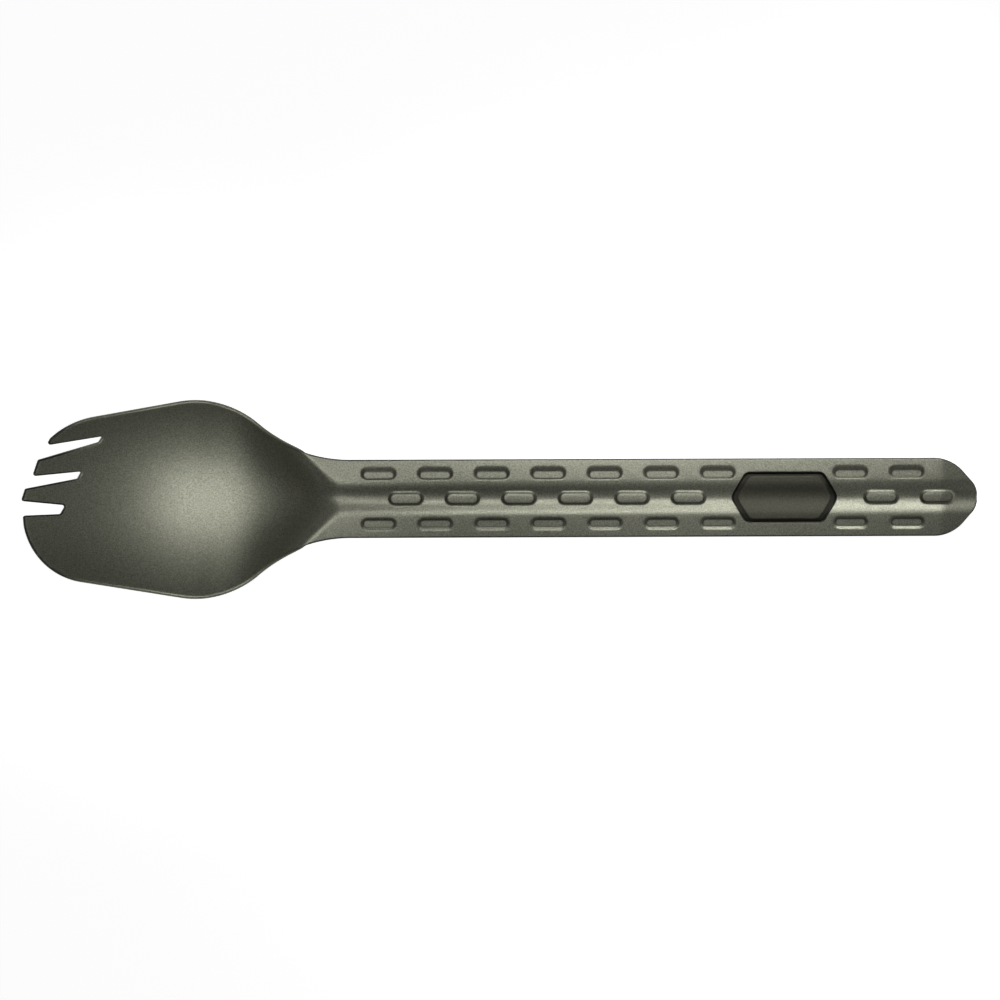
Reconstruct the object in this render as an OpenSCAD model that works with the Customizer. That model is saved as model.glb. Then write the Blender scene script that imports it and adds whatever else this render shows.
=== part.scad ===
// Camp spork pressed from sheet metal, with a slim pocket tool nested under its handle.
// The spork lies on a table: +X runs from the tines to the handle's tip, +Z is up, and z = 0 is the table.

/* [Overall] */
// Length from the foremost tine to the tip of the handle
overall_length = 225; // [205:1:245]
// Thickness of the pressed sheet
sheet_t = 1; // [0.8:0.05:1.3]

/* [Bowl] */
// Width of the bowl at its shoulders, over its upper edges
bowl_width = 46; // [41:0.1:51]
// Front edge to the end of the hollow, on the centre line
bowl_length = 71.5; // [68:0.5:75]
// Front edge to the deepest point of the bowl
floor_at = 43.5; // [40:0.5:47]
// Front edge to the widest point of the bowl
shoulder_at = 40.6; // [37:0.1:44]
// Height of the side walls above the bowl's floor, at the shoulders
side_rise = 7.2; // [5.5:0.1:9]
// Height of the tine tips above the bowl's floor
front_rise = 14; // [11:0.5:17]
// Depth of the crown that is pressed flat for the bowl to rest on
floor_flat = 0.4; // [0.25:0.05:0.6]
// Radius of the shoulders in plan
shoulder_r = 21.7; // [19.5:0.1:22.5]
// Radius of the front corner on the tine side
tine_corner_r = 20.7; // [18:0.1:21.5]
// Radius of the front corner on the scraping side
scrape_corner_r = 16.3; // [14:0.1:18]
// Radius of the neck in plan
neck_r = 33.5; // [28:0.5:42]

/* [Tines] */
// Distance of the outermost tine's tip behind the front edge
tine_setback = 6.4; // [4:0.1:8]
// Bulge of the line of tine tips
front_bow = 2; // [1.2:0.1:2]
// Length of the slot next to the broad tine
slot_length = 9.4; // [7:0.1:11]
// Growth in length from one slot to the next
slot_growth = 1.9; // [1:0.1:2.5]
// Mean width of the slots at their roots
slot_root_w = 1.6; // [1.2:0.1:2.2]
// Mean width of the slots at their mouths
slot_mouth_w = 2.9; // [2.2:0.1:3.6]

/* [Handle] */
// Width of the handle
handle_width = 18.5; // [17:0.1:21]
// Distance between the two crests of the handle
crest_spacing = 8; // [7.2:0.1:9.4]
// Depth of the groove between the crests
groove_depth = 1.3; // [1:0.1:1.8]
// Drop from the crests to the handle's edges
edge_drop = 0.55; // [0.3:0.05:1]
// Height of the crests above the table at the top of the arch
arch_top = 14; // [13:0.1:16]
// Front edge to the top of the handle's arch
arch_at = 100; // [92:0.5:110]
// Height of the crests above the table where the tip starts to bend
bend_height = 5.4; // [5:0.1:7]
// Radius of the upward flare where the handle runs into the bowl
flare_r = 150; // [100:5:200]
// Radius of the rounded nose of the handle
nose_r = 5.9; // [4:0.1:7]
// How far the nose stands out from a plain round end
nose_point = 1.1; // [0.6:0.1:2]
// Length of the tip that is bent down to the table
tip_bend_length = 9.3; // [7.5:0.1:11]

/* [Dashes] */
// Length of a coined dash
dash_length = 8.2; // [7.4:0.1:9]
// Width of a coined dash
dash_width = 3.2; // [2.4:0.1:3.8]
// Depth of the outer dashes, and height of the raised middle ones
dash_depth = 0.55; // [0.3:0.05:0.6]
// Distance from one dash to the next along a row
dash_pitch = 13.27; // [12:0.01:14]
// Distance of the outer rows from the centre line
dash_row_y = 5.95; // [5.3:0.05:6.5]
// Width of the slope at the sides of a dash
dash_ramp = 0.8; // [0.4:0.1:1]
// End of the bowl's hollow to the first dash of the outer rows
dash_start = 12.2; // [11:0.1:14.5]
// Centre of the window to the first dash behind it
dash_after_window = 15.5; // [14.5:0.1:16.5]

/* [Window and stud] */
// Tip of the handle to the centre of the window
window_to_tip = 45.6; // [44:0.1:50]
// Length of the window between its two points
window_length = 24.7; // [20:0.1:26]
// Width of the window between its flats
window_width = 11.5; // [9:0.1:12.5]
// Length of the window's flats
window_flat = 18; // [14:0.1:19]
// Clearance round the stud in the window
stud_clearance = 0.15; // [0.05:0.05:0.3]
// Depth of the stud's face below the sheet around it
stud_recess = 0.2; // [0.05:0.05:0.4]
// Width of the border round the stud's face
stud_border = 0.8; // [0.5:0.1:1.4]
// Depth of that border below the face
stud_border_drop = 0.4; // [0.2:0.05:0.5]
// Thickness of the flange that holds the stud behind the tool
stud_flange_t = 0.6; // [0.4:0.1:0.8]

/* [Pocket tool] */
// Thickness of the tool's plate
tool_t = 1; // [0.8:0.05:1.2]
// Width of the tool
tool_width = 14; // [13:0.1:15]
// Length of the tool
tool_length = 80; // [70:1:88]
// Distance of the tool's rear end from the centre of the window
tool_rear = 25; // [22:0.5:27]
// Radius of the tool's corners
tool_corner_r = 2; // [1:0.1:2.5]
// Gap between the tool and the sheet that it nests under
nest_gap = 0.3; // [0.2:0.05:0.6]
// Width of the flat driver at the tool's front end
driver_width = 6; // [5.5:0.1:8]
// Length of that driver
driver_length = 9; // [6:0.1:12]
// Radius of the bottle opener's mouth
opener_r = 4.2; // [3:0.1:4.6]
// Centre of that mouth to the tool's rear end
opener_to_end = 7.5; // [6.5:0.1:9]
// Radius of the notch that opens packets
notch_r = 2; // [1.2:0.1:2.6]
// Centre of that notch to the driver's shoulder
notch_to_driver = 6; // [5:0.1:10]

/* [Hidden] */

overrun = 8;
probe = 0.02;
curve_sides = 32;

// Shares that shape the bowl: slope at the tine tips, and walls at the tips, at the neck and in the flare there
tip_slope_share = 1.5;
front_wall_share = 0.45;
neck_wall_share = 0.2;
neck_flare_share = 1.7;

// Powers of its curves: keel ahead of the floor and behind it, side walls, flare at the neck and handle's flanks
keel_power = 2.5;
wall_power = 2.6;
side_power = 2.25;
neck_flare_power = 3;
flank_power = 1.4;

// Width of the soft crease between the bowl and the handle, as a difference in height
crest_blend = 4;

// The front's lower edge stands ahead of its upper edge, because the sheet is cut square
front_lip = sheet_t * sin(atan(tip_slope_share * front_rise / floor_at));

// Plan of the bowl and handle
front_x = front_lip - overall_length / 2;
tip_x = overall_length / 2;
floor_x = front_x + floor_at;
hollow_end_x = front_x + bowl_length;
bowl_hw = bowl_width / 2;
handle_hw = handle_width / 2;
shoulder = [front_x + shoulder_at, bowl_hw - shoulder_r];
neck_y = handle_hw + neck_r;
neck_x = shoulder.x + sqrt((shoulder_r + neck_r) ^ 2 - (neck_y - shoulder.y) ^ 2);
neck_join_x = shoulder.x + (neck_x - shoulder.x) * shoulder_r / (shoulder_r + neck_r);

// Front corners, each as the centre of its arc with the side that it rounds taken as positive
tine_corner_y_share = -0.05;
scrape_corner_y_share = 0.127;
scrape_inset = 0.35;
scrape_front_x = front_x + scrape_inset;
tine_front_x = front_x + tine_setback;
tine_corner = [front_x + tine_corner_r, bowl_hw * tine_corner_y_share];
scrape_corner = [scrape_front_x + scrape_corner_r, bowl_hw * scrape_corner_y_share];

// Nose of the handle: a wide arc, a straight flank and a small arc
nose_x = tip_x - nose_r;
round_x = tip_x - handle_hw - nose_point;
flank_angle = asin((handle_hw - nose_r) / (nose_x - round_x));
flank_start = [round_x + handle_hw * sin(flank_angle), handle_hw * cos(flank_angle)];
flank_end_x = nose_x + nose_r * sin(flank_angle);
nose_land = 1.6;

// Form of the handle
crest_share = crest_spacing / handle_width;
arch_x = front_x + arch_at;
bend_x = tip_x - tip_bend_length;
arch_r = (bend_x - arch_x) ^ 2 / (2 * (arch_top - bend_height));
bend_r = 1.8;

// Tine slots, from the broad tine upwards: direction, place of the root and width
slot_angles = [-2, 8, 12.5];
slot_y_shares = [-0.1, 0.247, 0.615];
slot_back_shares = [0.239, 0.334, 0.456];
slot_root_shares = [1.3, 0.95, 0.75];
slot_mouth_shares = [1.15, 0.88, 0.97];
slot_root_slant = 1.15;

// Dashes: outer rows on even steps of half a pitch and the middle row on odd ones,
// in a long group ahead of the window and a short one behind it
window_x = tip_x - window_to_tip;
dash_step = dash_pitch / 2;
dash_hw = dash_width / 2;
dash_end_ramp = (dash_length - dash_step) / 2;
front_dash_x = hollow_end_x + dash_start;
rear_dash_x = window_x + dash_after_window;
front_dashes = 1 + floor((window_x - (window_flat + dash_length) / 2 - front_dash_x) / dash_pitch);
rear_dashes = 2;
dash_groups = [[front_dash_x, 2 * front_dashes - 2], [rear_dash_x, 2 * rear_dashes - 1]];

// Stud and tool, as depths below the top of the sheet
window_corner_r = 1.6;
stem_share = 0.62;
flange_share = 0.85;
stem_clearance = 0.05;
seat_gap = 0.05;
patch_margin = 0.5;
tool_top = sheet_t + nest_gap;
tool_bottom = tool_top + tool_t;
flange_top = tool_bottom + seat_gap;
flange_bottom = flange_top + stud_flange_t;
tool_hw = tool_width / 2;
tool_rear_x = window_x + tool_rear;
tool_front_x = tool_rear_x - tool_length;
driver_end_x = tool_front_x + driver_length;
opener_inset_share = 0.35;

// Ribs across the sheet and strands along it
front_ribs = 20;
neck_ribs = 18;
gap_ribs = 3;
tip_ribs = 6;
stud_ribs = 12;
tool_ribs = 24;
patch_strands = 14;

// Smaller of two heights, with the crease between them rounded
function soft_min(a, b, k) =
  let (h = max(k - abs(a - b), 0) / k)
  min(a, b) - h * h * k / 4;

function clamp01(v) = max(0, min(1, v));

// Slope of the straight side between a front corner and the shoulder
function side_slope(corner, r) =
  let (d = shoulder - corner)
  atan2(d.y, d.x) + asin((shoulder_r - r) / norm(d));

// Distance of the bowl's edge from the centre line, ahead of the shoulder
function bowl_edge(x, corner, r) =
  let (
    a = side_slope(corner, r),
    start = corner + r * [-sin(a), cos(a)],
    end_x = shoulder.x - shoulder_r * sin(a)
  )
  x < start.x ? corner.y + sqrt(max(r ^ 2 - (x - corner.x) ^ 2, 0)) :
  x < end_x ? start.y + (x - start.x) * tan(a) :
  shoulder.y + sqrt(shoulder_r ^ 2 - (x - shoulder.x) ^ 2);

// Half the width of the sheet behind the shoulder
function half_width(x) =
  x < neck_join_x ? shoulder.y + sqrt(shoulder_r ^ 2 - (x - shoulder.x) ^ 2) :
  x < neck_x ? neck_y - sqrt(neck_r ^ 2 - (neck_x - x) ^ 2) :
  x < round_x ? handle_hw :
  x < flank_start.x ? sqrt(handle_hw ^ 2 - (x - round_x) ^ 2) :
  x < flank_end_x ? flank_start.y - (x - flank_start.x) * tan(flank_angle) :
  max(sqrt(max(nose_r ^ 2 - (x - nose_x) ^ 2, 0)), nose_land);

// Half the width of the die, which runs on straight past the rounded front corners
function die_half_width(x) =
  x < shoulder.x ? bowl_hw - (shoulder.x - x) * tan(side_slope(tine_corner, tine_corner_r)) :
  half_width(x);

// Height of the handle's crests along the arch, with the flare at the bowl
function arch_z(x) =
  arch_top - (x - arch_x) ^ 2 / (2 * arch_r) + max(neck_x - x, 0) ^ 2 / (2 * flare_r);

// The tip bends down until its underside meets the table
function bend(x) =
  let (d = max(x - bend_x, 0))
  d ^ 3 / (d ^ 2 + bend_r ^ 2);
function crest_z(x) = arch_z(x) - (arch_z(tip_x) - sheet_t) * bend(x) / bend(tip_x);

// Top of the handle: a groove between two crests, with the edges turned down
function handle_z(x, y) =
  let (
    u = abs(y) / max(die_half_width(x), handle_hw)
  )
  crest_z(x) - (
    u < crest_share ? groove_depth * (1 + cos(180 * u / crest_share)) / 2 :
    edge_drop * ((u - crest_share) / (1 - crest_share)) ^ flank_power
  );

// Top of the bowl's dish: a keel along the centre line, with walls that rise to both sides
end_rise = crest_z(hollow_end_x) - groove_depth - sheet_t + floor_flat;
function dish_z(x, y) =
  let (
    ahead = max(floor_x - x, 0) / floor_at,
    behind = max(x - floor_x, 0) / (hollow_end_x - floor_x),
    neck = min(behind, 1),
    keel = front_rise * ahead ^ keel_power
      * (1 + (keel_power - tip_slope_share) * (1 - ahead))
      + end_rise * behind ^ wall_power,
    wall = side_rise * (1 - (1 - front_wall_share) * ahead)
      * (1 - (1 - neck_wall_share) * neck + neck_flare_share * neck ^ neck_flare_power)
  )
  sheet_t - floor_flat + keel + wall * (abs(y) / die_half_width(x)) ^ side_power;

// Top of the whole pressed sheet, before the dashes are coined into it
function sheet_z(x, y) = soft_min(dish_z(x, y), handle_z(x, y), crest_blend);

// Point at a depth below the top of the sheet, measured square to it; nothing goes below the table
function sheet_point(p, depth) =
  let (
    dx = (sheet_z(p.x + probe, p.y) - sheet_z(p.x - probe, p.y)) / (2 * probe),
    dy = (sheet_z(p.x, p.y + probe) - sheet_z(p.x, p.y - probe)) / (2 * probe),
    n = [-dx, -dy, 1] / norm([-dx, -dy, 1]),
    q = [p.x, p.y, sheet_z(p.x, p.y)] - depth * n
  )
  [q.x, q.y, max(q.z, 0)];

// Share of a dash's full depth at a distance along and across it
function dash_form(along, across) =
  clamp01((dash_length / 2 - abs(along)) / dash_end_ramp) * clamp01((dash_hw - abs(across)) / dash_ramp);

// Rise or dip of the dashes at a point: the middle row is raised and the outer rows are sunk
function dash_lift(p) = dash_depth * max([for (g = dash_groups)
  let (q = round((p.x - g[0]) / dash_step))
  for (k = [q - 1 : q + 1]) k < 0 || k > g[1] || k % 2 == 0 ? 0 : dash_form(p.x - g[0] - k * dash_step, p.y)])
  - dash_depth * max([for (g = dash_groups)
  let (q = round((p.x - g[0]) / dash_step))
  for (k = [q - 1 : q + 1]) k < 0 || k > g[1] || k % 2 == 1 ? 0 :
    dash_form(p.x - g[0] - k * dash_step, abs(p.y) - dash_row_y)]);

// Strands, as shares of half the width: they follow the sides of the dashes
inner_row = dash_row_y - dash_hw;
outer_row = dash_row_y + dash_hw;
half_strands = [
  0, dash_hw - dash_ramp, dash_hw, (dash_hw + inner_row) / 2,
  inner_row, inner_row + dash_ramp, outer_row - dash_ramp, outer_row, handle_hw
] / handle_hw;
half_count = len(half_strands) - 1;
strand_shares = [for (j = [-half_count : half_count]) sign(j) * half_strands[abs(j)]];
patch_shares = [for (j = [0 : patch_strands]) 2 * j / patch_strands - 1];

// Rib of the blank in plan: a row of points from one edge to the other, bowed forwards
function rib(low, high, bow, shares) =
  let (across = high - low)
  [for (s = shares)
    (low + high + s * across) / 2 + bow * (1 - s ^ 2) * [-across.y, across.x] / norm(across)];

front_plan = [for (i = [0 : front_ribs - 1])
  let (
    t = i / front_ribs,
    ease = 1 - cos(90 * t),
    low_x = scrape_front_x + (shoulder.x - scrape_front_x) * ease,
    high_x = tine_front_x + (shoulder.x - tine_front_x) * (t + ease) / 2
  )
  rib(
    [low_x, -bowl_edge(low_x, scrape_corner, scrape_corner_r)],
    [high_x, bowl_edge(high_x, tine_corner, tine_corner_r)],
    front_bow * (1 - t) ^ 2,
    strand_shares
  )];

// Ribs behind the shoulder: one at each end of every dash's ramps, and a few in between
function ramp_ribs(group) = [for (k = [-1 : group[1]]) for (e = [-1 : 1])
  group[0] + (k + 1 / 2) * dash_step + e * dash_end_ramp];
front_group_x = ramp_ribs(dash_groups[0]);
rear_group_x = ramp_ribs(dash_groups[1]);
front_group_end = front_group_x[len(front_group_x) - 1];
rear_group_end = rear_group_x[len(rear_group_x) - 1];
rear_plan = [for (x = concat(
  [for (i = [0 : neck_ribs - 1]) shoulder.x + (front_group_x[0] - shoulder.x) * i / neck_ribs],
  front_group_x,
  [for (i = [1 : gap_ribs - 1]) front_group_end + (rear_group_x[0] - front_group_end) * i / gap_ribs],
  rear_group_x,
  [for (i = [1 : tip_ribs]) rear_group_end + (tip_x - rear_group_end) * sin(90 * i / tip_ribs)]
)) rib([x, -half_width(x)], [x, half_width(x)], 0, strand_shares)];

// Plan of a straight strip under the handle
function strip_plan(x0, x1, hw, ribs) =
  [for (i = [0 : ribs]) let (x = x0 + (x1 - x0) * i / ribs) rib([x, -hw], [x, hw], 0, patch_shares)];

// Solid between two depths below the pressed surface, over a plan made of ribs
module pressed(plan, top, bottom, dashed = false) {
  ribs = len(plan);
  row = len(plan[0]);
  last = row - 1;
  under = ribs * row;
  points = concat(
    [for (r = plan) for (p = r) sheet_point(p, top) + [0, 0, dashed ? dash_lift(p) : 0]],
    [for (r = plan) for (p = r) sheet_point(p, bottom)]
  );
  faces = concat(
    [for (i = [0 : ribs - 2]) for (j = [0 : last - 1])
      let (a = i * row + j, b = a + 1, c = a + row, d = c + 1)
      each [[a, b, c], [b, d, c], [a + under, c + under, b + under], [b + under, c + under, d + under]]],
    [for (i = [0 : ribs - 2])
      let (a = i * row, b = a + row, c = a + last, d = b + last)
      each [[a, b, a + under], [b, b + under, a + under], [c, c + under, d], [d, c + under, d + under]]],
    [for (j = [0 : last - 1])
      let (a = j, b = j + 1, c = (ribs - 1) * row + j, d = c + 1)
      each [[a, a + under, b], [b, a + under, b + under], [c, d, c + under], [d, d + under, c + under]]]
  );
  polyhedron(points, faces);
}

// Upright prism at the window: its outline, scaled by a share and then grown by a margin
module window_prism(share, margin) {
  point_x = window_length / 2;
  flat_x = window_flat / 2;
  side_y = window_width / 2;
  translate([window_x, 0, 0]) linear_extrude(arch_top + overrun) offset(delta = margin) scale(share)
    offset(r = window_corner_r, $fn = curve_sides) offset(delta = -window_corner_r)
      polygon([
        [point_x, 0], [flat_x, side_y], [-flat_x, side_y],
        [-point_x, 0], [-flat_x, -side_y], [flat_x, -side_y]
      ]);
}

// Tapered slot between two tines, open to the front
module tine_slot(k) {
  root_hw = slot_root_w * slot_root_shares[k] / 2;
  mouth_hw = slot_mouth_w * slot_mouth_shares[k] / 2;
  length = slot_length + k * slot_growth;
  open_x = -length - overrun;
  open_hw = root_hw + (mouth_hw - root_hw) * -open_x / length;
  translate([front_x + slot_back_shares[k] * shoulder_at, slot_y_shares[k] * bowl_hw, -overrun])
    rotate(slot_angles[k]) linear_extrude(arch_top + 2 * overrun)
      polygon([
        [slot_root_slant / 2, root_hw], [-slot_root_slant / 2, -root_hw],
        [open_x, -open_hw], [open_x, open_hw]
      ]);
}

// The spork itself: one blank, pressed to shape, slotted for the tines and pierced for the stud
module spork_body() {
  color("#8a8b7b") difference() {
    pressed(concat(front_plan, rear_plan), 0, sheet_t, dashed = true);
    for (k = [0 : len(slot_angles) - 1]) tine_slot(k);
    window_prism(1, 0);
  }
}

// One layer of the stud, between two depths and within the window's outline
module stud_layer(top, bottom, share, margin) {
  reach = window_length / 2 + patch_margin;
  side = window_width / 2 + patch_margin;
  intersection() {
    pressed(strip_plan(window_x - reach, window_x + reach, side, stud_ribs), top, bottom);
    window_prism(share, margin);
  }
}

// Moulded stud: face and border in the window, a stem through the tool and a flange behind it
module latch_stud() {
  rim = stud_recess + stud_border_drop;
  color("#2b2b28") {
    stud_layer(stud_recess, sheet_t, 1, -stud_clearance - stud_border);
    stud_layer(rim, tool_top - seat_gap, 1, -stud_clearance);
    stud_layer(sheet_t, flange_bottom - seat_gap, stem_share, 0);
    stud_layer(flange_top, flange_bottom, flange_share, 0);
  }
}

module tool_outline() {
  difference() {
    offset(r = tool_corner_r, $fn = curve_sides) offset(delta = -tool_corner_r) {
      translate([tool_front_x, -driver_width / 2]) square([tool_length, driver_width]);
      translate([driver_end_x, -tool_hw]) square([tool_length - driver_length, tool_width]);
    }
    translate([tool_rear_x - opener_to_end, tool_hw - opener_r * opener_inset_share]) circle(r = opener_r);
    translate([driver_end_x + notch_to_driver, -tool_hw]) circle(r = notch_r);
  }
}

// Pocket tool: a plate with the handle's own section, so that it nests against the underside
module pocket_tool() {
  color("#3a3b3a") difference() {
    intersection() {
      pressed(
        strip_plan(tool_front_x - patch_margin, tool_rear_x + patch_margin, tool_hw + patch_margin, tool_ribs),
        tool_top,
        tool_bottom
      );
      linear_extrude(arch_top, $fn = curve_sides) tool_outline();
    }
    window_prism(stem_share, stem_clearance);
  }
}

spork_body();
latch_stud();
pocket_tool();
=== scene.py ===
import math

import bmesh
import bpy
import numpy as np
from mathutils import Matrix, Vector
from mathutils.geometry import delaunay_2d_cdt
from mathutils.kdtree import KDTree


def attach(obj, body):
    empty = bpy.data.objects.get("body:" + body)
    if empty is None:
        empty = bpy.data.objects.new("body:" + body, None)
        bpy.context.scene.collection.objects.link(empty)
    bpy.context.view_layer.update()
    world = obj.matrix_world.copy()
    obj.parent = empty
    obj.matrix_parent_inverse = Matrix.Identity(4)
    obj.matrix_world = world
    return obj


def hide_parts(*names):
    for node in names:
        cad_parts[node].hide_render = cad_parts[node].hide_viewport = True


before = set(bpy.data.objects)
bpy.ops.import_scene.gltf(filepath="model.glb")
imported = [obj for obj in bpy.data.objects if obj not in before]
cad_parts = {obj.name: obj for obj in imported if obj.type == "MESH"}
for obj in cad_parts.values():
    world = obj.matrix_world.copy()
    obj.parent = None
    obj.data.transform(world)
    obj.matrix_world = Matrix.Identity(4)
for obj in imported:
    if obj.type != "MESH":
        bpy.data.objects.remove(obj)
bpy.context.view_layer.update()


# Spork body. One blank of 1 mm sheet metal with its tines cut into the front, pressed into a deep
# bowl, a neck and a grooved handle with coined dashes, and pierced with a six-sided window. A satin
# grey-olive coat covers it. It stands on its bowl and on the bent-down tip. Sizes in millimetres.
millimetre = 0.001
sheet_thickness = 1.0
sheet_edge_radius = 0.4
blank_length = 225.0

bowl_width = 46.0
bowl_length = 71.5
floor_from_front = 43.5
shoulder_from_front = 40.6
side_rise = 7.2
front_rise = 14.0
floor_flat = 0.4
shoulder_radius = 21.7
tine_corner_radius = 20.7
tine_corner_share = -0.05
scrape_corner_radius = 16.3
scrape_corner_share = 0.127
scrape_setback = 0.35
neck_radius = 33.5
tip_slope_share = 1.5
front_wall_share = 0.45
neck_wall_share = 0.2
neck_flare_share = 1.7
neck_flare_power = 3
keel_power = 2.5
end_wall_power = 2.6
side_wall_power = 2.25
crease_blend = 4.0

handle_width = 18.5
crest_spacing = 8.0
groove_depth = 1.3
edge_drop = 0.55
flank_power = 1.4
arch_top = 14.0
arch_from_front = 100.0
bend_height = 5.4
bend_length = 9.3
bend_radius = 1.8
flare_radius = 150.0
nose_radius = 5.9
nose_point = 1.1
nose_land = 1.6

front_slope = math.atan(tip_slope_share * front_rise / floor_from_front)
front_x = sheet_thickness * math.sin(front_slope) - blank_length / 2
tip_x = blank_length / 2
floor_x = front_x + floor_from_front
hollow_end_x = front_x + bowl_length
bowl_half = bowl_width / 2
handle_half = handle_width / 2
shoulder = np.array([front_x + shoulder_from_front, bowl_half - shoulder_radius])
neck_y = handle_half + neck_radius
neck_reach = math.sqrt((shoulder_radius + neck_radius) ** 2 - (neck_y - shoulder[1]) ** 2)
neck_x = shoulder[0] + neck_reach
neck_join_x = shoulder[0] + neck_reach * shoulder_radius / (shoulder_radius + neck_radius)
scrape_front_x = front_x + scrape_setback
tine_corner = np.array([front_x + tine_corner_radius, tine_corner_share * bowl_half])
scrape_corner = np.array([
    scrape_front_x + scrape_corner_radius, scrape_corner_share * bowl_half,
])

nose_x = tip_x - nose_radius
round_x = tip_x - handle_half - nose_point
flank_angle = math.asin((handle_half - nose_radius) / (nose_x - round_x))
flank_x = round_x + handle_half * math.sin(flank_angle)
flank_y = handle_half * math.cos(flank_angle)
flank_end_x = nose_x + nose_radius * math.sin(flank_angle)

arch_x = front_x + arch_from_front
bend_x = tip_x - bend_length
arch_radius = (bend_x - arch_x) ** 2 / (2 * (arch_top - bend_height))
crest_share = crest_spacing / handle_width


def root(value):
    return np.sqrt(np.maximum(value, 0))


def side_slope(corner, radius):
    across = shoulder - corner
    tangent = math.asin((shoulder_radius - radius) / math.hypot(*across))
    return math.atan2(across[1], across[0]) + tangent


def bowl_edge(x, corner, radius):
    """Half the bowl's width ahead of its shoulder: front corner, straight side, shoulder."""
    angle = side_slope(corner, radius)
    start_x = corner[0] - radius * math.sin(angle)
    start_y = corner[1] + radius * math.cos(angle)
    end_x = shoulder[0] - shoulder_radius * math.sin(angle)
    arc = corner[1] + root(radius ** 2 - (x - corner[0]) ** 2)
    side = start_y + (x - start_x) * math.tan(angle)
    crown = shoulder[1] + root(shoulder_radius ** 2 - (x - shoulder[0]) ** 2)
    return np.where(x < start_x, arc, np.where(x < end_x, side, crown))


def half_width(x, land=nose_land):
    """Half the blank's width behind the shoulder. The nose is at least as wide as its land."""
    crown = shoulder[1] + root(shoulder_radius ** 2 - (x - shoulder[0]) ** 2)
    neck = neck_y - root(neck_radius ** 2 - (neck_x - x) ** 2)
    wide_end = root(handle_half ** 2 - (x - round_x) ** 2)
    flank = flank_y - (x - flank_x) * math.tan(flank_angle)
    nose = np.maximum(root(nose_radius ** 2 - (x - nose_x) ** 2), land)
    return np.select(
        [x < neck_join_x, x < neck_x, x < round_x, x < flank_x, x < flank_end_x],
        [crown, neck, np.full_like(x, handle_half), wide_end, flank],
        nose,
    )


def die_half_width(x):
    slope = math.tan(side_slope(tine_corner, tine_corner_radius))
    return np.where(x < shoulder[0], bowl_half - (shoulder[0] - x) * slope, half_width(x))


def arch_height(x):
    flare = np.maximum(neck_x - x, 0) ** 2 / (2 * flare_radius)
    return arch_top - (x - arch_x) ** 2 / (2 * arch_radius) + flare


def bend_drop(x):
    past = np.maximum(x - bend_x, 0)
    return past ** 3 / (past ** 2 + bend_radius ** 2)


tip_drop = arch_height(np.array(tip_x)) - sheet_thickness


def crest_height(x):
    return arch_height(x) - tip_drop * bend_drop(x) / bend_drop(np.array(tip_x))


def handle_height(x, y):
    across = np.abs(y) / np.maximum(die_half_width(x), handle_half)
    groove = groove_depth * (1 + np.cos(np.pi * np.minimum(across / crest_share, 1))) / 2
    past_crest = np.maximum(across - crest_share, 0) / (1 - crest_share)
    return crest_height(x) - groove - edge_drop * past_crest ** flank_power


end_rise = crest_height(np.array(hollow_end_x)) - groove_depth - sheet_thickness + floor_flat


def dish_height(x, y):
    ahead = np.maximum(floor_x - x, 0) / floor_from_front
    behind = np.maximum(x - floor_x, 0) / (hollow_end_x - floor_x)
    neck = np.minimum(behind, 1)
    keel = front_rise * ahead ** keel_power * (1 + (keel_power - tip_slope_share) * (1 - ahead))
    keel = keel + end_rise * behind ** end_wall_power
    wall = side_rise * (1 - (1 - front_wall_share) * ahead)
    wall = wall * (1 - (1 - neck_wall_share) * neck + neck_flare_share * neck ** neck_flare_power)
    across = np.abs(y) / die_half_width(x)
    return sheet_thickness - floor_flat + keel + wall * across ** side_wall_power


def sheet_height(x, y):
    """The pressed surface: dish and handle, with the crease between them rounded."""
    dish = dish_height(x, y)
    handle = handle_height(x, y)
    near = np.maximum(crease_blend - np.abs(dish - handle), 0) / crease_blend
    return np.minimum(dish, handle) - near ** 2 * crease_blend / 4


def under_sheet(plan, depth):
    """Points at a depth below the pressed surface, measured square to it."""
    x, y = plan[:, 0], plan[:, 1]
    probe = 0.02
    slope_x = (sheet_height(x + probe, y) - sheet_height(x - probe, y)) / (2 * probe)
    slope_y = (sheet_height(x, y + probe) - sheet_height(x, y - probe)) / (2 * probe)
    square = np.column_stack([-slope_x, -slope_y, np.ones_like(x)])
    square /= np.linalg.norm(square, axis=1)[:, None]
    solid = np.column_stack([x, y, sheet_height(x, y)]) - depth * square
    solid[:, 2] = np.maximum(solid[:, 2], 0)
    return solid


def spaced(points, step, closed=False):
    """The same line with its points an even step apart."""
    points = np.asarray(points, float)
    if closed:
        points = np.vstack([points, points[:1]])
    along = np.concatenate([[0], np.cumsum(np.hypot(*np.diff(points, axis=0).T))])
    count = max(int(round(along[-1] / step)), 2)
    at = np.linspace(0, along[-1], count + 1)
    even = np.column_stack([np.interp(at, along, points[:, i]) for i in range(2)])
    return even[:-1] if closed else even


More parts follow.
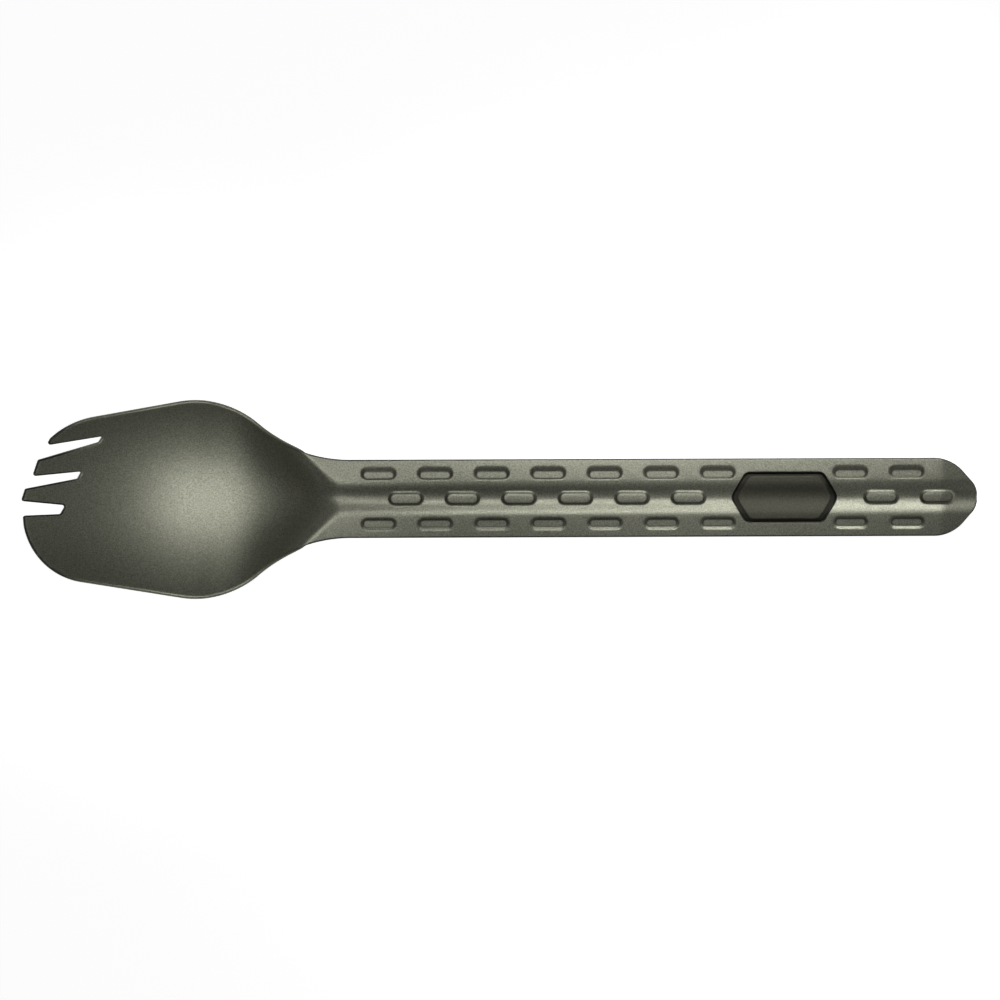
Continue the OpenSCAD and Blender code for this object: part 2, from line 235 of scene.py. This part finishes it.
def rounded(points, radius, least_turn=20, most_reach=0.48, arc_points=7):
    """A closed polygon with an arc at every corner that turns by more than some degrees."""
    radii = np.broadcast_to(radius, len(points))
    arced = []
    for i, corner in enumerate(points):
        before = points[i - 1] - corner
        after = points[(i + 1) % len(points)] - corner
        back, on = np.hypot(*before), np.hypot(*after)
        before, after = before / back, after / on
        turn = math.acos(max(-1, min(1, -before @ after)))
        if math.degrees(turn) < least_turn:
            arced.append(corner)
            continue
        reach = min(radii[i] * math.tan(turn / 2), most_reach * back, most_reach * on)
        arc_radius = reach / math.tan(turn / 2)
        middle = before + after
        middle = corner + middle / np.hypot(*middle) * math.hypot(reach, arc_radius)
        first, last = corner + before * reach, corner + after * reach
        for share in np.linspace(0, 1, arc_points):
            spoke = first - middle + (last - first) * share
            arced.append(middle + spoke / np.hypot(*spoke) * arc_radius)
    return np.array(arced)


# Tine slots, from the broad tine upwards: direction in degrees, root as shares of the blank, root
# and mouth widths, length and the radius of the root's corners. Tine ends are set back from the front.
tine_slots = [
    (-2.0, (0.239, -0.098), 2.06, 3.34, 9.4, 0.4),
    (8.0, (0.334, 0.252), 1.48, 2.55, 11.3, 0.2),
    (12.5, (0.456, 0.613), 1.14, 2.81, 13.3, 0.15),
]
slot_root_slant = 1.15
tine_ends = [(0.0, -0.15), (0.76, 2.32), (2.87, 5.85), (3.82, 9.02)]
tine_front_x = front_x + 6.9
broad_tine_x = front_x + 0.65
corner_radius = 0.5
front_step, outline_step = 0.01, 0.27
side_steps, long_edge_steps, nose_steps, scrape_steps = 120, 260, 60, 160
corner_steps = 4

broad_tine_y = bowl_edge(np.array(broad_tine_x), scrape_corner, scrape_corner_radius)
front_low = np.array([broad_tine_x, -broad_tine_y])
upper_tine_y = bowl_edge(np.array(tine_front_x), tine_corner, tine_corner_radius)
front_high = np.array([tine_front_x, upper_tine_y])
front_corners = [front_low, (scrape_front_x, -scrape_corner[1])]
front_corners += [(front_x + back, up) for back, up in tine_ends] + [front_high]
front_line = spaced(front_corners, front_step)

blank = [(*front_low, corner_radius)]
for angle, (back, up), root_width, mouth_width, length, root_radius in tine_slots:
    slot_root = np.array([front_x + back * shoulder_from_front, up * bowl_half])
    inward = np.array([math.cos(math.radians(angle)), math.sin(math.radians(angle))])
    upward = np.array([-inward[1], inward[0]])
    along = (front_line - slot_root) @ inward
    off = (front_line - slot_root) @ upward
    width = root_width - (mouth_width - root_width) * along / length
    mouth = np.flatnonzero(np.abs(off) < width / 2)
    slant = inward * slot_root_slant / 2 + upward * root_width / 2
    blank.append((*front_line[mouth[0]], corner_radius))
    blank.append((*(slot_root - slant), root_radius))
    blank.append((*(slot_root + slant), root_radius))
    blank.append((*front_line[mouth[-1]], corner_radius))
blank.append((*front_high, corner_radius))

quarter = np.pi / 2
upper_x = np.concatenate([
    np.linspace(tine_front_x, shoulder[0], side_steps)[corner_steps:],
    np.linspace(shoulder[0], round_x, long_edge_steps)[1:],
    round_x + (tip_x - round_x) * np.sin(np.linspace(0, quarter, nose_steps)[1:]),
])
lower_x = np.concatenate([
    round_x + (tip_x - round_x) * np.sin(np.linspace(quarter, 0, nose_steps)[1:-1]),
    np.linspace(round_x, shoulder[0], long_edge_steps)[:-1],
    shoulder[0] + (broad_tine_x - shoulder[0]) * np.sin(np.linspace(0, quarter, scrape_steps)[:-1]),
])
for edge_x, up, corner, radius in (
    (upper_x, 1, tine_corner, tine_corner_radius),
    (lower_x, -1, scrape_corner, scrape_corner_radius),
):
    edge_y = np.where(edge_x < shoulder[0], bowl_edge(edge_x, corner, radius), half_width(edge_x, 0))
    blank.extend(np.column_stack([edge_x, up * edge_y, np.full_like(edge_x, corner_radius)]))
blank = np.array(blank)
blank = spaced(rounded(blank[:, :2], blank[:, 2]), outline_step, closed=True)

# Window for the stud: a long hexagon with rounded corners.
window_x = tip_x - 45.6
window_radius = 1.6
window_step = 0.4
window_corners = np.array([
    (12.35, 0), (9, 5.75), (-9, 5.75), (-12.35, 0), (-9, -5.75), (9, -5.75),
])
window = spaced(rounded(window_corners, window_radius), window_step, closed=True)

# Coined dashes. The two outer rows are pockets, the upper ones with a sloping outer wall, and the
# middle row is rounded beads that stand up from the groove. Each goes from a foot line to a floor
# or top line. A dark line of painted shade runs along that line, and painted shade darkens the
# upper pockets' walls.
pocket_foot = (8.5, 3.05)
pocket_floor = (7.05, 1.65)
pocket_depth = 0.55
pocket_lip = 1.0
upper_floor_shift = 0.4
lower_floor_shift = 0.05
bead_foot = (8.3, 3.8)
bead_top = (7.1, 2.3)
bead_height = 1.1
bead_crown = 0.15
bead_lip = 0.4
bead_shift = -0.26
rear_bead_shift = 0.6
dash_pitch = 13.27
dash_row = 5.95
dash_round = 0.3
# Painted shade: a dark line along each dash's floor or top line, and over the upper pockets' walls.
dash_shade_width = 0.16
dash_shade_share = 0.8
upper_wall_shade_share = 0.5
front_dash_x = hollow_end_x + 12.2
rear_dash_x = window_x + 15.5
pocket_x = [front_dash_x + dash_pitch * i for i in range(7)]
pocket_x += [rear_dash_x + dash_pitch * i for i in range(2)]
pockets = [(x, y) for x in pocket_x for y in (dash_row, -dash_row)]
beads = [(front_dash_x + dash_pitch * (i + 0.5) + bead_shift, 0.0) for i in range(6)]
beads += [(rear_dash_x + dash_pitch * (i + 0.5) + rear_bead_shift, 0.0) for i in range(2)]


def floor_centre(pocket):
    x, y = pocket
    return (x, y - upper_floor_shift if y > 0 else y + lower_floor_shift)


def dash_line(centre, size, cap_points=15, side_points=19):
    """Points round a slot-shaped line, the same number for every size."""
    length, width = size
    straight = (length - width) / 2
    turn = np.linspace(-np.pi / 2, np.pi / 2, cap_points)
    cap = np.column_stack([straight + width / 2 * np.cos(turn), width / 2 * np.sin(turn)])
    side = np.linspace(1, -1, side_points)[1:-1, None] * (straight, 0) + (0, width / 2)
    half = np.vstack([cap, side])
    return np.vstack([half, -half]) + centre


def outside(plan, centre, size):
    """Distance outside such a line, less than zero within it."""
    length, width = size
    along = np.maximum(np.abs(plan[:, 0] - centre[0]) - (length - width) / 2, 0)
    return np.hypot(along, plan[:, 1] - centre[1]) - width / 2


def coined_share(plan, foot, foot_size, end, end_size, lip):
    """0 at the foot line and 1 at the end line, rounded over at both."""
    tiny = 1e-6
    beyond = outside(plan, foot, foot_size)
    short = np.maximum(outside(plan, end, end_size), 0)
    share = np.where(beyond > 0, -beyond / lip, -beyond / (short - beyond + tiny))
    start = np.clip(share + dash_round, 0, 2 * dash_round) ** 2 / (4 * dash_round)
    finish = np.clip(1 + dash_round - share, 0, 2 * dash_round) ** 2 / (4 * dash_round)
    share = np.where(share > 1 - dash_round, 1 - finish, share)
    return np.where(share < dash_round, start, share)


def pocket_share(plan, foot):
    return coined_share(plan, foot, pocket_foot, floor_centre(foot), pocket_floor, pocket_lip)


def dash_relief(plan):
    """How far the dashes lift the sheet, less than zero in a pocket."""
    lift = np.zeros(len(plan))
    for foot in pockets:
        lift -= pocket_depth * pocket_share(plan, foot)
    across = np.abs(plan[:, 1]) / handle_half / crest_share
    groove = groove_depth * (1 - np.cos(np.pi * across)) / 2
    crown = bead_height - bead_crown * (plan[:, 1] / bead_top[1] * 2) ** 2
    for foot in beads:
        lift += (crown - groove) * coined_share(plan, foot, bead_foot, foot, bead_top, bead_lip)
    return lift


def dash_shade(plan):
    """How dark the painted shade is: along each floor or top line, and on the upper pockets' walls."""
    mark = np.zeros(len(plan))
    for foot in pockets + beads:
        sunk = foot in pockets
        end, end_size = (floor_centre(foot), pocket_floor) if sunk else (foot, bead_top)
        off = outside(plan, end, end_size) / dash_shade_width
        mark = np.maximum(mark, dash_shade_share * np.exp(-off ** 2))
        if sunk and foot[1] > 0:
            wall = np.where(off > 0, pocket_share(plan, foot), 0)
            mark = np.maximum(mark, upper_wall_shade_share * np.sqrt(wall))
    return mark


def within(points, loop):
    """Which points lie inside a closed loop."""
    inside = np.zeros(len(points), bool)
    x, y = points[:, 0], points[:, 1]
    for (x0, y0), (x1, y1) in zip(loop, np.roll(loop, -1, axis=0)):
        if y0 == y1:
            continue
        crossed = (y0 > y) != (y1 > y)
        inside ^= crossed & (x < x0 + (y - y0) * (x1 - x0) / (y1 - y0))
    return inside


def stipple(x_from, x_to, half, step, loops, clearance=0.6):
    """Even points over a strip of the blank, some share of a step clear of its edges."""
    margin = 1
    rows = np.arange(-half - margin, half + margin, step * math.sqrt(3) / 2)
    columns = np.arange(x_from, x_to, step)
    x, y = np.meshgrid(columns, rows)
    x = x + step / 2 * (np.arange(len(rows)) % 2)[:, None]
    points = np.column_stack([x.ravel(), y.ravel()])
    keep = within(points, loops[0])
    for hole in loops[1:]:
        keep &= ~within(points, hole)
    points = points[keep]
    edge = np.vstack(loops)
    tree = KDTree(len(edge))
    for i, (ex, ey) in enumerate(edge):
        tree.insert((ex, ey, 0), i)
    tree.balance()
    clear = [tree.find((px, py, 0))[2] > clearance * step for px, py in points]
    return points[clear]


def inset(loop, distance):
    """A loop moved sideways, to the left of its own direction."""
    ahead = np.roll(loop, -1, axis=0) - np.roll(loop, 1, axis=0)
    ahead /= np.hypot(*ahead.T)[:, None]
    return loop + distance * np.column_stack([-ahead[:, 1], ahead[:, 0]])


def pressed_mesh(
    name, loops, fills, depths, edge_radius, relief=None, relief_shade=None, edge_mark=None
):
    """Closed sheet between two depths, with rounded edges. Its outline runs clockwise, holes don't."""
    top, bottom = depths
    points, faces, marks = [], [], []

    def side(fill, depth, lift, flip):
        edge_loops = [inset(loop, -edge_radius) for loop in loops]
        flat = np.vstack(edge_loops + [fill])
        wires = []
        first = 0
        for loop in edge_loops:
            wires += [(first + i, first + (i + 1) % len(loop)) for i in range(len(loop))]
            first += len(loop)
        inner_faces, weld = 2, 1e-6
        out, _, cells, source, _, _ = delaunay_2d_cdt(
            [Vector(p) for p in flat], wires, [], inner_faces, weld
        )
        plan = np.array([(v.x, v.y) for v in out])
        solid = under_sheet(plan, depth)
        if lift:
            solid[:, 2] += lift(plan)
        base = sum(len(block) for block in points)
        points.append(solid)
        # The top points carry the dashes' painted shade.
        marks.append(relief_shade(plan) if lift else np.zeros(len(solid)))
        placed = {s: base + i for i, group in enumerate(source) for s in group}
        middles = np.array([plan[list(cell)].mean(axis=0) for cell in cells])
        pierced = np.zeros(len(cells), bool)
        for hole in edge_loops[1:]:
            pierced |= within(middles, hole)
        for cell in np.array(cells)[~pierced]:
            corners = [base + c for c in cell]
            faces.append(corners[::-1] if flip else corners)
        rows, first = [], 0
        for loop in edge_loops:
            rows.append([placed[first + i] for i in range(len(loop))])
            first += len(loop)
        return rows

    fill_top, fill_under = fills
    top_rows = side(fill_top, top, relief, False)
    under_rows = side(fill_under, bottom, None, True)
    turns = np.radians([18, 36, 54, 72, 90])
    asides = edge_radius * (1 - np.sin(turns))
    drops = edge_radius * (1 - np.cos(turns))
    profile = list(zip(asides, top + drops)) + list(zip(asides, bottom - drops))[::-1]
    for loop, top_row, under_row in zip(loops, top_rows, under_rows):
        rings = [top_row]
        for aside, depth in profile:
            base = sum(len(block) for block in points)
            points.append(under_sheet(inset(loop, -aside), depth))
            # Edge rings carry the edges' painted shade on the spork, and wear all round on the tool.
            marks.append(edge_mark(loop) if edge_mark else np.ones(len(loop)))
            rings.append(list(range(base, base + len(loop))))
        rings.append(under_row)
        for upper, lower in zip(rings, rings[1:]):
            for i in range(len(loop)):
                j = (i + 1) % len(loop)
                faces.append((upper[i], upper[j], lower[j], lower[i]))
    return finished_mesh(name, np.vstack(points), faces, np.concatenate(marks))


def finished_mesh(name, points, faces, mark):
    """Smooth-shaded object in metres, with a mark at each point for painted shade or for wear."""
    mesh = bpy.data.meshes.new(name)
    corners = [list(map(int, face)) for face in faces]
    mesh.from_pydata([tuple(p) for p in points * millimetre], [], corners)
    finish = mesh.attributes.new("shade_and_wear_mark", "FLOAT", "POINT")
    finish.data.foreach_set("value", mark.astype(np.float32))
    work = bmesh.new()
    work.from_mesh(mesh)
    bmesh.ops.recalc_face_normals(work, faces=work.faces[:])
    work.to_mesh(mesh)
    work.free()
    mesh.shade_smooth()
    piece = bpy.data.objects.new(name, mesh)
    bpy.context.scene.collection.objects.link(piece)
    return piece


# The top face has closer points on the handle, and rings of them round every dash.
bowl_step, handle_step, under_step = 0.7, 0.42, 1.0
dash_clearance = 0.5
rings_round_foot = (0.7, 0.4, 0.2)
rings_down_wall = (0, 0.12, 0.3, 0.5, 0.7, 0.88, 1)
rings_within_end = (0.3, 0.75, 1.2)
split_x = hollow_end_x + 4
blank_loops = [blank, window + (window_x, 0)]
bowl_fill = stipple(front_x - 1, split_x, bowl_half, bowl_step, blank_loops)
handle_fill = stipple(split_x, tip_x + 1, handle_half, handle_step, blank_loops)
under_fill = stipple(front_x - 1, tip_x + 1, bowl_half, under_step, blank_loops)
dash_fill = []
for foot in pockets + beads:
    sunk = foot in pockets
    foot_size, end_size = (pocket_foot, pocket_floor) if sunk else (bead_foot, bead_top)
    end = floor_centre(foot) if sunk else foot
    foot_line = dash_line(foot, foot_size)
    end_line = dash_line(end, end_size)
    handle_fill = handle_fill[outside(handle_fill, foot, foot_size) > dash_clearance]
    for grow in rings_round_foot:
        dash_fill.append(dash_line(foot, np.add(foot_size, grow)))
    for share in rings_down_wall:
        dash_fill.append(foot_line + (end_line - foot_line) * share)
    for shrink in rings_within_end:
        dash_fill.append(dash_line(end, np.subtract(end_size, shrink)))
top_fill = np.vstack([bowl_fill, handle_fill] + dash_fill)

# Painted shade: the rounded edges of the tines and handle are tinted near black.
tine_edge_shade_end, tine_edge_shade_fade = 9.0, 6.0
handle_edge_shade_start, handle_edge_shade_fade = -2.0, 10.0


def edge_shade(plan):
    """How much painted shade the edge gets: all of it on the tines and handle, none along the bowl."""
    from_tines = np.clip((plan[:, 0] - front_x - tine_edge_shade_end) / tine_edge_shade_fade, 0, 1)
    from_handle = (hollow_end_x + handle_edge_shade_start - plan[:, 0]) / handle_edge_shade_fade
    return 1 - np.minimum(from_tines, np.clip(from_handle, 0, 1))


body = pressed_mesh(
    "spork_sheet", blank_loops, (top_fill, under_fill), (0, sheet_thickness), sheet_edge_radius,
    dash_relief, dash_shade, edge_shade,
)


def grained_finish(name, colour, metallic, roughness, grain_scale, grain_detail, grain_bump):
    """A material with a fine grain that roughens its surface. Fixed values are on the shader."""
    made = bpy.data.materials.new(name)
    made.use_nodes = True
    nodes, links = made.node_tree.nodes, made.node_tree.links
    shader = nodes["Principled BSDF"]
    shader.inputs["Base Color"].default_value = (*colour, 1)
    shader.inputs["Metallic"].default_value = metallic
    shader.inputs["Roughness"].default_value = roughness
    place = nodes.new("ShaderNodeTexCoord")
    grain = nodes.new("ShaderNodeTexNoise")
    grain.inputs["Scale"].default_value = grain_scale
    grain.inputs["Detail"].default_value = grain_detail
    links.new(place.outputs["Object"], grain.inputs["Vector"])
    bump = nodes.new("ShaderNodeBump")
    bump.inputs["Strength"].default_value = grain_bump
    bump.inputs["Distance"].default_value = 0.1 * millimetre
    links.new(grain.outputs["Fac"], bump.inputs["Height"])
    links.new(bump.outputs["Normal"], shader.inputs["Normal"])
    return made, shader, grain


def tint_ramp(made, dark, light):
    """A ramp between two tints, each given with its place on the ramp."""
    ramp = made.node_tree.nodes.new("ShaderNodeValToRGB")
    for element, (position, colour) in zip(ramp.color_ramp.elements, (dark, light)):
        element.position = position
        element.color = (*colour, 1)
    return ramp


def shade_and_wear_mark_node(made):
    mark = made.node_tree.nodes.new("ShaderNodeAttribute")
    mark.attribute_name = "shade_and_wear_mark"
    return mark


def tint_by_grain(made, shader, grain, dark, light, shade_colour):
    """Colour that follows the grain, with a colour of painted shade where the mesh carries a mark."""
    links = made.node_tree.links
    ramp = tint_ramp(made, dark, light)
    mark = shade_and_wear_mark_node(made)
    mix = made.node_tree.nodes.new("ShaderNodeMixRGB")
    mix.inputs["Color2"].default_value = (*shade_colour, 1)
    links.new(grain.outputs["Fac"], ramp.inputs["Fac"])
    links.new(mark.outputs["Fac"], mix.inputs["Fac"])
    links.new(ramp.outputs["Color"], mix.inputs["Color1"])
    links.new(mix.outputs["Color"], shader.inputs["Base Color"])


coat_olive = (0.25, 0.255, 0.2)
coat_dark = (0.3, (0.17, 0.174, 0.132))
coat_light = (0.7, (0.33, 0.336, 0.268))
# Painted shade: a near-black tint for the dashes' lines, the upper pockets' walls and the edges.
painted_shade_tint = (0.05, 0.05, 0.042)
coat, coat_shader, coat_grain = grained_finish(
    "grey_olive_coat", coat_olive, metallic=0.85, roughness=0.5,
    grain_scale=3200, grain_detail=3, grain_bump=0.25,
)
tint_by_grain(coat, coat_shader, coat_grain, coat_dark, coat_light, painted_shade_tint)
body.data.materials.append(coat)
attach(body, "spork")
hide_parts("spork_body")


# Latch stud. A dark rubber plug, moulded in one piece: its face sits in the handle's window inside
# a sloped border, its stem goes through the pocket tool, and a flange behind the tool holds it there.
# The border and all below it are painted near black as shade.
stud_clearance = 0.15
stud_face_share = np.array([0.895, 0.878])
stud_recess = 0.2
stud_border_depth = 0.62
stem_share = 0.62
flange_share = 0.85
flange_thickness = 0.6
# Painted shade on the plug's border and every level under it.
border_shade_share = 0.65
tool_gap = 0.3
tool_thickness = 1.0
seat_gap = 0.05
tool_top = sheet_thickness + tool_gap
tool_under = tool_top + tool_thickness
head_under = tool_top - seat_gap
flange_top = tool_under + seat_gap
flange_under = flange_top + flange_thickness
cap_steps = 18

# Levels of the plug from its face down: share of the window, how far it is let out, and depth.
stud_rings = [
    (stud_face_share, -0.12, stud_recess),
    (stud_face_share, -0.04, stud_recess + 0.03),
    (stud_face_share, 0, stud_recess + 0.1),
    (1, -stud_clearance - 0.12, stud_border_depth),
    (1, -stud_clearance - 0.03, stud_border_depth + 0.05),
    (1, -stud_clearance, stud_border_depth + 0.12),
    (1, -stud_clearance, head_under - 0.1),
    (1, -stud_clearance - 0.1, head_under),
    (stem_share, 0.08, head_under),
    (stem_share, 0, head_under + 0.05),
    (stem_share, 0, flange_top),
    (flange_share, -0.1, flange_top),
    (flange_share, 0, flange_top + 0.1),
    (flange_share, 0, flange_under - 0.15),
    (flange_share, -0.15, flange_under),
]
first_border_ring = 2


def stud_ring(share, grow, depth, scale=1.0):
    return under_sheet(inset(window * share, -grow) * scale + (window_x, 0), depth)


cap_scales = [i / cap_steps for i in range(1, cap_steps)]
stud_levels = [stud_ring(*stud_rings[0], scale) for scale in cap_scales]
stud_levels += [stud_ring(*ring) for ring in stud_rings]
stud_levels += [stud_ring(*stud_rings[-1], scale) for scale in cap_scales[::-1]]
stud_centre = np.array([[window_x, 0.0]])
stud_points = np.vstack(
    stud_levels + [under_sheet(stud_centre, stud_recess), under_sheet(stud_centre, flange_under)]
)
around = len(window)
stud_faces = []
for level in range(len(stud_levels) - 1):
    upper, lower = level * around, (level + 1) * around
    for i in range(around):
        j = (i + 1) % around
        stud_faces.append((upper + i, lower + i, lower + j, upper + j))
face_centre, flange_centre = len(stud_points) - 2, len(stud_points) - 1
last_level = (len(stud_levels) - 1) * around
for i in range(around):
    j = (i + 1) % around
    stud_faces.append((face_centre, i, j))
    stud_faces.append((flange_centre, last_level + j, last_level + i))
# Painted shade: from the border down, the plug is tinted near black.
border_shade = np.zeros(len(stud_points))
border_shade[(len(cap_scales) + first_border_ring) * around:] = border_shade_share
border_shade[face_centre] = 0
stud = finished_mesh("latch_plug", stud_points, stud_faces, border_shade)

rubber_olive = (0.06, 0.06, 0.047)
rubber_dark = (0.35, (0.05, 0.05, 0.039))
rubber_light = (0.65, (0.072, 0.072, 0.056))
# The colour of that painted shade.
border_shade_black = (0.015, 0.015, 0.012)
rubber_sheen = (0.85, 0.85, 0.66)
rubber, rubber_shader, rubber_grain = grained_finish(
    "matt_moulded_plug", rubber_olive, metallic=0.0, roughness=0.6,
    grain_scale=2600, grain_detail=4, grain_bump=0.03,
)
rubber_shader.inputs["Specular IOR Level"].default_value = 0.3
rubber_shader.inputs["Specular Tint"].default_value = (*rubber_sheen, 1)
tint_by_grain(rubber, rubber_shader, rubber_grain, rubber_dark, rubber_light, border_shade_black)
stud.data.materials.append(rubber)
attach(stud, "tool")
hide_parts("latch_stud")


# Pocket tool. A slim plate stamped from 1 mm steel with the handle's own section, so that it nests
# against the underside. It has a flat driver at the front, a bottle opener and a packet notch. Its
# blasted face is rubbed bright along the edges, and the stud snaps it in place.
tool_half = 7.0
tool_rear_x = window_x + 25
tool_front_x = tool_rear_x - 80
tool_corner_radius = 1.2
tool_edge_radius = 0.18
tool_outline_step, tool_step = 0.45, 0.8
stem_hole_gap = 0.05
driver_half = 3.0
driver_end_x = tool_front_x + 9
opener_x = tool_rear_x - 7.5
opener_radius = 4.2
opener_sink = 0.35
opener_y = tool_half - opener_sink * opener_radius
notch_x = driver_end_x + 6
notch_radius = 2.0


def bite(centre, radius, first, last, count=40):
    """Points of an arc from one angle in degrees to another."""
    turn = np.radians(np.linspace(first, last, count))
    return np.array(centre) + radius * np.column_stack([np.cos(turn), np.sin(turn)])


opener_lip = math.degrees(math.asin(opener_sink))
tool_outline = np.vstack([
    [(tool_front_x, -driver_half), (tool_front_x, driver_half)],
    [(driver_end_x, driver_half), (driver_end_x, tool_half)],
    bite((opener_x, opener_y), opener_radius, 180 - opener_lip, 360 + opener_lip),
    [(tool_rear_x, tool_half), (tool_rear_x, -tool_half)],
    bite((notch_x, -tool_half), notch_radius, 0, 180),
    [(driver_end_x, -tool_half), (driver_end_x, -driver_half)],
])
tool_loops = [
    spaced(rounded(tool_outline, tool_corner_radius), tool_outline_step, closed=True),
    inset(window * stem_share, -stem_hole_gap) + (window_x, 0),
]
tool_fill = stipple(tool_front_x - 1, tool_rear_x + 1, tool_half, tool_step, tool_loops)
tool = pressed_mesh(
    "nested_tool", tool_loops, (tool_fill, tool_fill), (tool_top, tool_under), tool_edge_radius
)

steel_dark = (0.0, (0.04, 0.041, 0.04))
steel_rubbed = (1.0, (0.2, 0.2, 0.195))
steel, steel_shader, steel_grain = grained_finish(
    "dark_blasted_steel", (0.045, 0.046, 0.045), metallic=0.9, roughness=0.5,
    grain_scale=4200, grain_detail=2, grain_bump=0.25,
)
steel_links = steel.node_tree.links
rub = steel.node_tree.nodes.new("ShaderNodeMath")
rub.operation = "MULTIPLY"
steel_tint = tint_ramp(steel, steel_dark, steel_rubbed)
steel_links.new(shade_and_wear_mark_node(steel).outputs["Fac"], rub.inputs[0])
steel_links.new(steel_grain.outputs["Fac"], rub.inputs[1])
steel_links.new(rub.outputs[0], steel_tint.inputs["Fac"])
steel_links.new(steel_tint.outputs["Color"], steel_shader.inputs["Base Color"])
tool.data.materials.append(steel)
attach(tool, "tool")
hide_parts("pocket_tool")


# Floor. A plain white sheet of paper that the spork stands on. It takes the shadow as paper does,
# and shows white to the camera and in reflections without lighting the spork.
floor_half = 3
floor_corners = [(x * floor_half, y * floor_half, 0) for x, y in ((-1, -1), (1, -1), (1, 1), (-1, 1))]
floor_mesh = bpy.data.meshes.new("paper_floor")
floor_mesh.from_pydata(floor_corners, [], [(0, 1, 2, 3)])
floor = bpy.data.objects.new("paper_floor", floor_mesh)
bpy.context.scene.collection.objects.link(floor)
paper = bpy.data.materials.new("white_paper")
paper.use_nodes = True
paper_nodes, paper_links = paper.node_tree.nodes, paper.node_tree.links
paper_nodes.clear()
matt = paper_nodes.new("ShaderNodeBsdfDiffuse")
matt.inputs["Color"].default_value = (0.6, 0.6, 0.6, 1)
glow = paper_nodes.new("ShaderNodeEmission")
glow.inputs["Strength"].default_value = 0.95
bright = paper_nodes.new("ShaderNodeAddShader")
ray = paper_nodes.new("ShaderNodeLightPath")
seen = paper_nodes.new("ShaderNodeMath")
seen.operation = "MAXIMUM"
seen_through = paper_nodes.new("ShaderNodeMath")
seen_through.operation = "MAXIMUM"
pick = paper_nodes.new("ShaderNodeMixShader")
surface = paper_nodes.new("ShaderNodeOutputMaterial")
paper_links.new(ray.outputs["Is Camera Ray"], seen.inputs[0])
paper_links.new(ray.outputs["Is Glossy Ray"], seen.inputs[1])
paper_links.new(seen.outputs[0], seen_through.inputs[0])
paper_links.new(ray.outputs["Is Transmission Ray"], seen_through.inputs[1])
paper_links.new(matt.outputs[0], bright.inputs[0])
paper_links.new(glow.outputs[0], bright.inputs[1])
paper_links.new(seen_through.outputs[0], pick.inputs["Fac"])
paper_links.new(matt.outputs[0], pick.inputs[1])
paper_links.new(bright.outputs[0], pick.inputs[2])
paper_links.new(pick.outputs[0], surface.inputs["Surface"])
floor_mesh.materials.append(paper)


# Studio light. Softboxes with grids, so that each lights its own stretch: one straight over the bowl,
# two strips low on the tine side that reach into the handle's groove, two boxes above them, and
# three weak fills on the scraping side. Each row is place, aim, size, grid angle and power.
softboxes = {
    "bowl_softbox": ((-0.074, 0, 0.15), (-0.077, 0, 0), (0.05, 0.05), 50, 0.009),
    "rear_strip": ((0.19, 0.24, 0.15), (0.09, 0, 0.01), (0.10, 0.06), 30, 0.0175),
    "front_strip": ((0.08, 0.2, 0.2), (0.06, 0, 0.01), (0.14, 0.06), 40, 0.009),
    "rear_softbox": ((0.15, 0.14, 0.265), (0.08, 0, 0.01), (0.10, 0.06), 40, 0.007),
    "neck_softbox": ((0, 0.14, 0.265), (0.02, 0, 0.01), (0.10, 0.06), 30, 0.013),
    "long_fill": ((0.06, -0.1, 0.28), (0.05, 0, 0.01), (0.2, 0.06), 40, 0.003),
    "bowl_fill": ((-0.12, -0.14, 0.265), (-0.08, 0, 0.01), (0.10, 0.06), 60, 0.002),
    "scrape_fill": ((0.15, -0.23, 0.193), (0.08, 0, 0.01), (0.10, 0.06), 60, 0.003),
}
for name, (place, aim, size, grid, power) in softboxes.items():
    light = bpy.data.lights.new(name, "AREA")
    light.shape = "RECTANGLE"
    light.size, light.size_y = size
    light.spread = math.radians(grid)
    light.energy = power
    lamp = bpy.data.objects.new(name, light)
    lamp.location = place
    lamp.rotation_euler = (Vector(aim) - Vector(place)).to_track_quat("-Z", "Y").to_euler()
    bpy.context.scene.collection.objects.link(lamp)
world = bpy.data.worlds.new("studio")
world.use_nodes = True
backdrop = world.node_tree.nodes["Background"]
backdrop.inputs["Color"].default_value = (1, 1, 1, 1)
backdrop.inputs["Strength"].default_value = 0.03
bpy.context.scene.world = world


# Camera. It looks straight down on the spork from far off, so that the picture is nearly free of
# perspective, and it is turned by the fifth of a degree that the photo is.
frame_width = 0.2352
camera_height = 6.0
camera_reach = 30
camera_turn = -0.21
sensor_width = 36
lens = bpy.data.cameras.new("overhead_camera")
lens.sensor_width = sensor_width
lens.lens = sensor_width * camera_height / frame_width
lens.clip_end = camera_reach
camera = bpy.data.objects.new("overhead_camera", lens)
camera.location = (0.0001, -0.00038, camera_height)
camera.rotation_euler = (0, 0, math.radians(camera_turn))
bpy.context.scene.collection.objects.link(camera)
bpy.context.scene.camera = camera
bpy.context.scene.view_settings.view_transform = "Standard"
